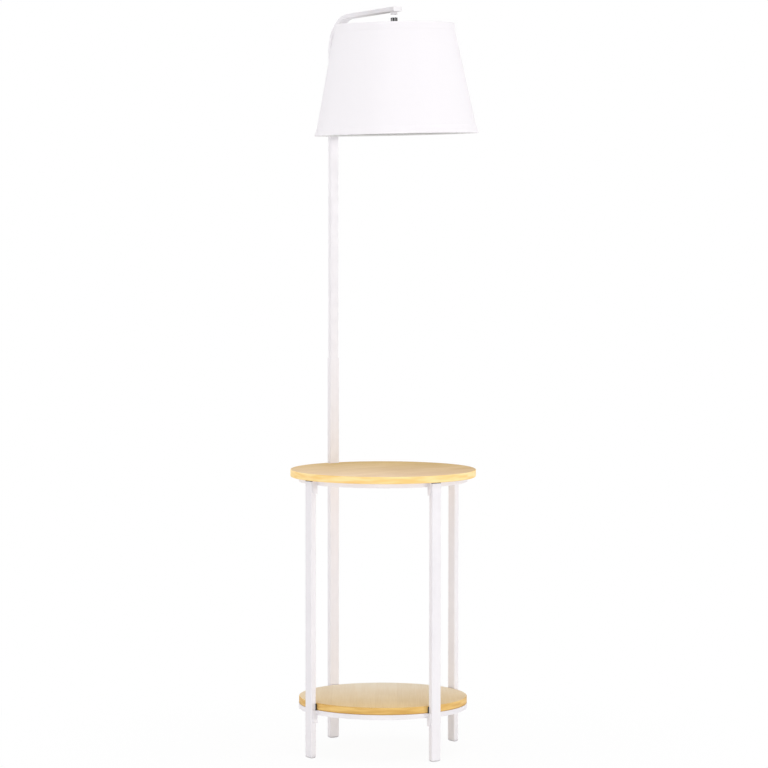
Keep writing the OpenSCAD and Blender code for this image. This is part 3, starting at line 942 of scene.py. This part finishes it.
    def _seam(self) -> Piece:
        """Makes the lapped joint of the cloth on the side by the pole.

        Returns:
            The piece.
        """
        shape = Shape()
        (depth, radius), (low_depth, low_radius) = self.rows[1], self.rows[2]
        skin = radius - self.under_hem
        half = self.seam_w / 2
        raised = half * self.seam_flat
        outline = ((skin - self.cloth_t / 2, -half), (skin, -half),
                   (skin + self.seam_lift, -raised), (skin + self.seam_lift, raised),
                   (skin, half), (skin - self.cloth_t / 2, half))
        edges = shape.line([(-r, y, -depth) for r, y in outline], closed=True)
        end = bmesh.ops.contextual_create(shape.bm, geom=edges)["faces"]
        grown = bmesh.ops.extrude_face_region(shape.bm, geom=end, use_keep_orig=True)["geom"]
        bmesh.ops.translate(shape.bm, vec=(radius - low_radius, 0.0, depth - low_depth),
                            verts=[part for part in grown if isinstance(part, bmesh.types.BMVert)])
        bmesh.ops.recalc_face_normals(shape.bm, faces=shape.bm.faces)
        bmesh.ops.transform(shape.bm, matrix=self.shop.lean.place(), verts=shape.bm.verts)
        self._unroll(shape, shape.bm.faces, backed=False)
        made = shape.finish("shade_seam", [self.shop.materials.get(HEM_CLOTH)], self.SHARP)
        return self.shop.add(made, "shade_head", "cloth")


class Drive(Enum):
    """The recess in a fastener's head; the value is its number of corners."""

    HEX = 6
    CROSS = 12


@dataclass(frozen=True)
class Bolt:
    """A domed bolt or screw, in metres; its head sits below the place's origin.

    The fields from dome on are degrees up the head's dome, then shares of the radius, the
    pitch or the head's height, and last the recess's turn in radians.
    """

    head_r: float
    head_h: float
    shank_r: float
    length: float
    drive_r: float
    drive: Drive
    pitch: float = 1.0 * MM
    steps: int = 24
    dome: tuple[int, ...] = (8, 25, 42, 58)
    dome_end: float = 1.1
    root: float = 0.9
    tip: float = 0.8
    first_turn: float = 1.5
    plain: float = 0.4
    rim: float = 0.12
    drive_deep: float = 0.55
    waist: float = 0.37
    drive_turn: float = math.pi / 12

    def build(self, shape: Shape, place: Matrix) -> None:
        """Adds the bolt to a mesh.

        Args:
            shape: The mesh.
            place: Its axis, pointing along the shank from under the head.
        """
        turns = [math.radians(turn) for turn in self.dome]
        dome = [(self.head_r * math.cos(turn), -self.head_h * math.sin(turn)) for turn in turns]
        dome = [(r, z) for r, z in dome if r > self.drive_r * self.dome_end]
        thread = []
        for k in range(int((self.length - 2 * self.pitch) / self.pitch)):
            z = (self.first_turn + k) * self.pitch
            thread += [(self.shank_r * self.root, z), (self.shank_r, z + self.pitch / 2)]
        outline = [(0.0, self.length), (self.shank_r * self.tip, self.length),
                   *reversed(thread), (self.shank_r, self.plain * self.pitch),
                   (self.shank_r, 0.0), (self.head_r, 0.0),
                   (self.head_r, -self.rim * self.head_h), *dome]
        part = Shape()
        part.spin(outline, Matrix(), self.steps, closed=False)
        self._recess(part)
        bmesh.ops.transform(part.bm, matrix=place, verts=part.bm.verts)
        shape.take(part)

    def _recess(self, part: Shape) -> None:
        """Closes the head with the drive's recess.

        Args:
            part: The bolt, open at the top of its dome.
        """
        bm = part.bm
        rim = [edge for edge in bm.edges if edge.is_boundary]
        turn = Matrix.Rotation(self.drive_turn, 4, "Z")
        ring = bmesh.ops.create_circle(
            bm, segments=self.drive.value, radius=self.drive_r,
            matrix=Matrix.Translation((0, 0, -self.head_h)) @ turn)["verts"]
        if self.drive is Drive.CROSS:
            for vert in ring[2::3]:
                vert.co.xy *= self.waist
        edges = list(dict.fromkeys(edge for vert in ring for edge in vert.link_edges))
        bmesh.ops.bridge_loops(bm, edges=rim + edges)
        wall = bmesh.ops.extrude_edge_only(bm, edges=edges)["geom"]
        deep = [each for each in wall if isinstance(each, bmesh.types.BMVert)]
        bmesh.ops.translate(bm, vec=(0, 0, self.drive_deep * self.head_h), verts=deep)
        bmesh.ops.contextual_create(
            bm, geom=[each for each in wall if isinstance(each, bmesh.types.BMEdge)
                      and all(vert in deep for vert in each.verts)])
        bmesh.ops.recalc_face_normals(bm, faces=bm.faces)


@dataclass
class Fasteners:
    """The clip bolts, the wood screws and the pole's screws."""

    shop: Workshop
    clip_bolt: Bolt = Bolt(5.25 * MM, 3.0 * MM, 3.0 * MM, 9.0 * MM, 2.0 * MM, Drive.HEX)
    wood_screw: Bolt = Bolt(3.5 * MM, 2.2 * MM, 1.75 * MM, 11.2 * MM, 1.4 * MM, Drive.CROSS)
    pole_screw: Bolt = Bolt(3.4 * MM, 1.8 * MM, 2.0 * MM, 6.0 * MM, 1.4 * MM, Drive.CROSS)
    bolt_down: float = 19.0 * MM
    head_seat: float = 2.1 * MM
    screw_r: float = 172.9 * MM
    screw_headings: tuple[int, ...] = (45, 135, 225, 315)
    ring_wall: float = 1.2 * MM
    pole_heights: Pair = (0.807, 0.777)
    sharp: float = 32.0

    def build(self) -> None:
        """Makes the fasteners."""
        layout = self.shop.layout
        inside = layout.leg_inside - self.head_seat
        for board, bolts, screws in (("table_board", "upper_bolts", "table_screws"),
                                     ("shelf_board", "lower_bolts", "shelf_screws")):
            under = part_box(board)[0].z
            turns = [math.radians(heading) for heading in layout.leg_headings]
            self._row(bolts, self.clip_bolt, [
                axis_at(layout.point(inside, turn, under - self.bolt_down), outward(turn))
                for turn in turns])
            turns = [math.radians(heading) for heading in self.screw_headings]
            self._row(screws, self.wood_screw, [
                axis_at(layout.point(self.screw_r, turn, under - self.ring_wall),
                        Vector((0.0, 0.0, 1.0)), turn) for turn in turns])
        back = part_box("pole_lower")[0].x
        self._row("pole_screws", self.pole_screw, [
            axis_at(Vector((back, 0.0, height)), Vector((1.0, 0.0, 0.0)))
            for height in self.pole_heights])

    def _row(self, node: str, bolt: Bolt, places: Iterable[Matrix]) -> None:
        """Makes one node's fasteners as one piece.

        Args:
            node: The CAD node that they stand for.
            bolt: Their sizes.
            places: Their axes.
        """
        shape = Shape()
        for place in places:
            bolt.build(shape, place)
        made = shape.finish(f"{node}_zinc", [self.shop.materials.get(ZINC)], self.sharp)
        self.shop.add(made, "stand", "zinc_steel", node)


@dataclass
class Welds:
    """Small weld beads beside the rings' clips, which the coat runs over."""

    shop: Workshop
    bead: Outline = ((0.0, 0.0), (0.8 * MM, 0.4 * MM), (1.0 * MM, 2.0 * MM),
                     (0.85 * MM, 4.4 * MM), (1.0 * MM, 6.6 * MM), (0.8 * MM, 8.0 * MM),
                     (0.0, 8.4 * MM))
    ring_r: float = 177.6 * MM
    beside_leg: float = 2.1 * MM
    drop: float = 9.2 * MM
    steps: int = 10
    sharp: float = 60.0

    def build(self) -> None:
        """Makes the beads on both sides of each clip."""
        shape = Shape()
        layout = self.shop.layout
        off = (layout.leg_width / 2 + self.beside_leg) / self.ring_r
        for board in ("table_board", "shelf_board"):
            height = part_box(board)[0].z - self.drop
            for heading in layout.leg_headings:
                for turn in (math.radians(heading) - off, math.radians(heading) + off):
                    place = Matrix.Translation(layout.point(self.ring_r, turn, height))
                    shape.spin(self.bead, place, self.steps, closed=False)
        made = shape.finish("clip_welds", [self.shop.materials.get(PAINT)], self.sharp)
        self.shop.add(made, "stand", "white_paint")


@dataclass
class Stand:
    """The painted tubes, rings, caps and stoppers."""

    shop: Workshop

    def build(self) -> None:
        """Dresses the stand's nodes."""
        self.shop.dress(("upper_ring", "lower_ring", "leg_left", "leg_front", "leg_right",
                         "pole_lower", "pole_upper", "swivel_socket"), PAINT)
        self.shop.dress(("foot_pole", "foot_left", "foot_front", "foot_right", "cord_inlet"),
                        CAP_PLASTIC)
        # The arm's end plug takes the paler white: painted light on its lit end face.
        self.shop.dress(("arm_plug",), LIT_PLUG_PLASTIC)
        # Black stoppers and pads: real parts whose black also paints the shade in the gaps by the
        # leg tops and beside the shelf.
        self.shop.dress(("leg_stoppers", "shelf_pads"), BLACK_PLASTIC)
        self.shop.dress(("rivet_nuts",), ZINC)


@dataclass
class Holder:
    """The ball's stem and the lamp holder under it, with a ribbed neck."""

    shop: Workshop
    neck_from: float = 12.2 * MM
    neck_to: float = 25.2 * MM
    crest_r: float = 6.8 * MM
    ribs: int = 8
    crest_half: float = 10.0

    def build(self) -> None:
        """Dresses the holder's nodes."""
        self.shop.dress(("ball_stem", "stem_collar", "stem_nut"), ZINC)
        self.shop.dress(("holder_cap", "holder_body", "shade_nut_ring"), BLACK_PLASTIC)
        self.shop.dress(("holder_core",), CERAMIC)
        self.shop.dress(("screw_shell", "centre_contact"), BRASS)
        self._paint_rib_highlights()

    def _paint_rib_highlights(self) -> None:
        """Paints a highlight on the middle of each rib on the neck: the crests are paler than the
        grooves.
        """
        # Painted highlight: rib crests facing within crest_half degrees take the paler grey.
        mesh = self.shop.nodes["holder_cap"].data
        mesh.materials.append(self.shop.materials.get(NECK_RIB_HIGHLIGHT))
        back = self.shop.lean.place().inverted()
        pitch = 360 / self.ribs
        for polygon in mesh.polygons:
            middle = back @ polygon.center
            heading = math.degrees(math.atan2(middle.y, middle.x))
            off_crest = abs(heading % pitch - pitch / 2)
            on_neck = -self.neck_to < middle.z < -self.neck_from
            crest = middle.xy.length > self.crest_r and off_crest < self.crest_half
            polygon.material_index = int(on_neck and crest)


# ---- Stage ----


@dataclass(frozen=True)
class Sun:
    """A soft distant light, with its angles in degrees.

    A level of 1 shows a facing surface in its written colour.
    """

    name: str
    level: float
    heading: float
    height: float
    width: float

    def place(self) -> None:
        """Adds the lamp to the scene."""
        data = bpy.data.lights.new(self.name, "SUN")
        data.energy = self.level * math.pi
        data.angle = math.radians(self.width)
        lamp = linked(self.name, data)
        heading, height = math.radians(self.heading), math.radians(self.height)
        source = outward(heading, math.cos(height), math.sin(height))
        lamp.rotation_euler = source.to_track_quat("Z", "Y").to_euler()


@dataclass
class Stage:
    """Floor, light and camera, in metres and degrees; the lens and sensor are millimetres."""

    middle: Vector
    camera_at: Triple = (5.9537, -4.1098, 1.2009)
    facing: Pair = (-0.81432, 0.58042)
    pitch: float = 3.44
    roll: float = 0.06
    lens: float = 158.06
    sensor: float = 36.0
    sight: float = 120.0
    floor_size: float = 40.0
    floor_tone: float = 0.94
    floor_white: float = 0.95
    shadow_fades: Pair = (0.30, 1.0)
    sky: float = 0.28
    suns: tuple[Sun, ...] = (
        Sun("overhead", 0.50, 0.0, 88.0, 70.0),
        Sun("right_key", 0.10, 20.0, 34.0, 60.0),
        Sun("left_key", 0.10, -92.0, 34.0, 60.0),
        Sun("right_fill", 0.22, 34.0, 2.5, 5.0),
        Sun("front_fill", 0.26, -35.5, 1.2, 3.0),
        Sun("left_fill", 0.15, -112.0, 2.5, 5.0),
        Sun("right_back_fill", 0.12, 97.0, 6.0, 14.0),
        Sun("left_back_fill", 0.12, -172.0, 6.0, 14.0))

    def build(self) -> None:
        """Makes the floor, the world, the lamps and the camera."""
        self._floor()
        self._world()
        for sun in self.suns:
            sun.place()
        self._camera()
        bpy.context.scene.view_settings.view_transform = "Standard"

    @staticmethod
    def _seen(g: Graph) -> Socket:
        """Tells where the eye, a mirror or a glass looks from where light is gathered.

        Args:
            g: The graph to build in.

        Returns:
            One for the eye, and zero for light.
        """
        path = g.node("ShaderNodeLightPath")
        seen = g.math("MAXIMUM", path.outputs["Is Camera Ray"], path.outputs["Is Glossy Ray"])
        return g.math("MAXIMUM", seen, path.outputs["Is Transmission Ray"])

    def _floor(self) -> None:
        """Makes the white floor, which keeps the lamp's soft shadow near its feet."""
        bm = bmesh.new()
        bmesh.ops.create_grid(bm, x_segments=1, y_segments=1, size=self.floor_size)
        mesh = bpy.data.meshes.new("floor")
        bm.to_mesh(mesh)
        bm.free()
        made = bpy.data.materials.new("floor_white")
        g = Graph.of(made)
        where = g.node("ShaderNodeTexCoord").outputs["Object"]
        away = g.node("ShaderNodeVectorMath", {0: where, 1: self.middle},
                      operation="DISTANCE").outputs["Value"]
        keep = g.span(away, *self.shadow_fades, self.floor_white, 1.0)
        plain = g.node("ShaderNodeBsdfDiffuse", {"Color": (*[self.floor_tone] * 3, 1.0)})
        white = g.node("ShaderNodeEmission", {"Color": (1, 1, 1, 1), "Strength": 1.0})
        mixed = g.node("ShaderNodeMixShader", {0: g.math("MULTIPLY", self._seen(g), keep),
                       1: plain.outputs[0], 2: white.outputs[0]})
        g.node("ShaderNodeOutputMaterial", {"Surface": mixed.outputs[0]})
        mesh.materials.append(made)
        linked("floor", mesh)

    def _world(self) -> None:
        """Makes the white surroundings, which give the object a plain level of light."""
        world = bpy.data.worlds.new("studio")
        g = Graph.of(world)
        level = g.math("ADD", self.sky, g.math("MULTIPLY", self._seen(g), 1.0 - self.sky))
        light = g.node("ShaderNodeBackground", {"Color": (1, 1, 1, 1), "Strength": level})
        g.node("ShaderNodeOutputWorld", {"Surface": light.outputs[0]})
        bpy.context.scene.world = world

    def _camera(self) -> None:
        """Sets the camera at the photograph's viewing angle."""
        data = bpy.data.cameras.new("camera")
        data.lens = self.lens
        data.sensor_width = self.sensor
        data.clip_end = self.sight
        camera = linked("camera", data)
        pitch = math.radians(self.pitch)
        ahead = Vector((self.facing[0] * math.cos(pitch), self.facing[1] * math.cos(pitch),
                        -math.sin(pitch)))
        right = ahead.cross(Vector((0, 0, 1))).normalized()
        up = right.cross(ahead)
        turn = Matrix((right, up, -ahead)).transposed()
        turn = turn @ Matrix.Rotation(math.radians(self.roll), 3, "Z")
        camera.matrix_world = Matrix.Translation(self.camera_at) @ turn.to_4x4()
        bpy.context.scene.camera = camera


def main() -> None:
    """Builds the scene."""
    logging.basicConfig(level=logging.INFO, format="%(message)s")
    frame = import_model()
    shop = Workshop(frame["nodes"], Layout.read())
    for kind in (Boards, Stand, Holder, Fasteners, Welds, Shade):
        kind(shop).build()
    Stage(shop.layout.middle).build()


if __name__ == "__main__":
    main()
